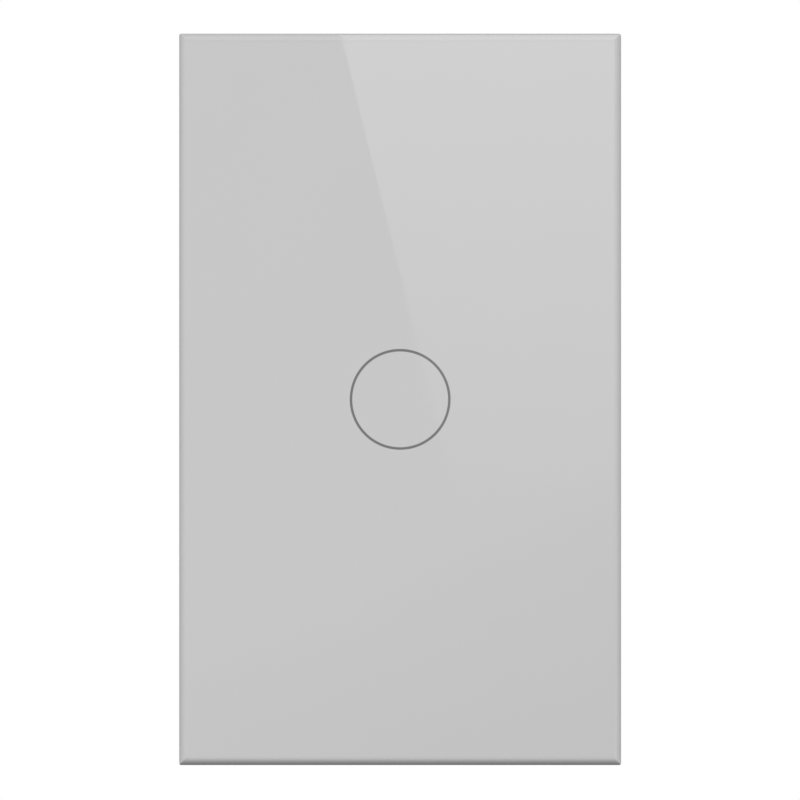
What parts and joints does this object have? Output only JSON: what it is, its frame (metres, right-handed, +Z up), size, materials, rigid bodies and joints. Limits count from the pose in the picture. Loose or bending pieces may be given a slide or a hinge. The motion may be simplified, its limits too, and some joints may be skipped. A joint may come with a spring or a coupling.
{
  "type": "light switch",
  "caption": "Touch light switch: plain grey glass panel with a ring-shaped touch mark, on a steel yoke with a deep rear housing for a wall box.",
  "frame": {"origin": "middle of the two wall-screw slots, on the rear face of the steel yoke, which lies against the wall", "axes": "+X across the panel to the right seen from the room, +Y from the room into the wall, +Z up along the panel"},
  "size_m": [0.0724, 0.0404, 0.12],
  "materials": {
    "glass": "back-printed grey, polished",
    "tape": "foam bonding tape, matt",
    "frame_plastic": "fine spark-eroded grain",
    "white_plastic": "moulded, satin",
    "spring_steel": "rolled, bright",
    "zinc_steel": "zinc plated",
    "earth_green": "green chromate",
    "board": "solder mask, satin",
    "milky_plastic": "translucent diffuser",
    "lamp": "clear resin",
    "chip": "moulded epoxy",
    "tinned_can": "tinned",
    "black_plastic": "moulded",
    "brass": "stamped, bright",
    "relay_blue": "moulded case",
    "spool": "moulded nylon",
    "copper": "enamelled copper wire",
    "iron": "soft iron, nickel plated",
    "ferrite": "sintered ferrite",
    "winding_tape": "polyester tape",
    "can_sleeve": "aluminium can in a plastic sleeve",
    "film_yellow": "moulded box",
    "varistor_blue": "dipped epoxy",
    "resistor": "thick film",
    "block_green": "moulded"
  },
  "bodies": {
    "base": {"base_cover": "white_plastic", "big_capacitor": "can_sleeve", "board_screws": "zinc_steel", "board_socket": "black_plastic", "bridge_rectifier": "chip", "chip_resistors": "resistor", "earth_screw": "earth_green", "fuse": "black_plastic", "header_housing": "black_plastic", "header_pins": "brass", "housing_screws": "zinc_steel", "light_guide": "milky_plastic", "mounting_yoke": "zinc_steel", "panel_clips": "spring_steel", "power_board": "board", "radio_board": "board", "radio_shield": "tinned_can", "rear_housing": "white_plastic", "regulator_chip": "chip", "relay_base": "relay_blue", "relay_bobbin": "spool", "relay_contact": "brass", "relay_core": "iron", "relay_cover": "relay_blue", "relay_iron_frame": "iron", "relay_winding": "copper", "safety_capacitor": "film_yellow", "small_capacitor": "can_sleeve", "status_leds": "lamp", "terminal_block": "block_green", "terminal_tabs": "brass", "touch_board": "board", "touch_chip": "chip", "touch_spring": "spring_steel", "transformer_core": "ferrite", "transformer_winding": "winding_tape", "varistor": "varistor_blue"},
    "front_panel": {"glass_panel": "glass", "panel_tape": "tape", "panel_frame": "frame_plastic"},
    "relay_rocker": {"relay_armature": "iron", "relay_leaf": "brass"},
    "clamp_screw_1": {"terminal_screw_1": "zinc_steel"},
    "clamp_cage_1": {"terminal_cage_1": "brass"},
    "clamp_screw_2": {"terminal_screw_2": "zinc_steel"},
    "clamp_cage_2": {"terminal_cage_2": "brass"},
    "clamp_screw_3": {"terminal_screw_3": "zinc_steel"},
    "clamp_cage_3": {"terminal_cage_3": "brass"}
  },
  "joints": [
    {"name": "panel_pull_off", "type": "slide", "parent": "base", "child": "front_panel", "axis": [0, -1, 0], "range_m": [0, 0.018], "deforming": ["panel_clips", "touch_spring"]},
    {"name": "relay_rock", "type": "hinge", "parent": "base", "child": "relay_rocker", "pos_m": [-0.0133, 0.0239, -0.0152], "axis": [1, 0, 0], "range_deg": [0, 3.2], "stiffness_Nm_per_rad": 0.01, "springref_deg": -6.88},
    {"name": "clamp_turn_1", "type": "hinge", "parent": "base", "child": "clamp_screw_1", "pos_m": [-0.00762, 0.02245, -0.0256], "axis": [0, -1, 0], "range_deg": [0, 1800]},
    {"name": "clamp_lift_1", "type": "slide", "parent": "base", "child": "clamp_cage_1", "axis": [0, 1, 0], "range_m": [0, 0.0025]},
    {"name": "clamp_turn_2", "type": "hinge", "parent": "base", "child": "clamp_screw_2", "pos_m": [0, 0.02245, -0.0256], "axis": [0, -1, 0], "range_deg": [0, 1800]},
    {"name": "clamp_lift_2", "type": "slide", "parent": "base", "child": "clamp_cage_2", "axis": [0, 1, 0], "range_m": [0, 0.0025]},
    {"name": "clamp_turn_3", "type": "hinge", "parent": "base", "child": "clamp_screw_3", "pos_m": [0.00762, 0.02245, -0.0256], "axis": [0, -1, 0], "range_deg": [0, 1800]},
    {"name": "clamp_lift_3", "type": "slide", "parent": "base", "child": "clamp_cage_3", "axis": [0, 1, 0], "range_m": [0, 0.0025]}
  ],
  "couplings": [
    {"joint": "clamp_turn_1", "follows": "clamp_lift_1", "rad_per_m": 12566},
    {"joint": "clamp_turn_2", "follows": "clamp_lift_2", "rad_per_m": 12566},
    {"joint": "clamp_turn_3", "follows": "clamp_lift_3", "rad_per_m": 12566}
  ]
}
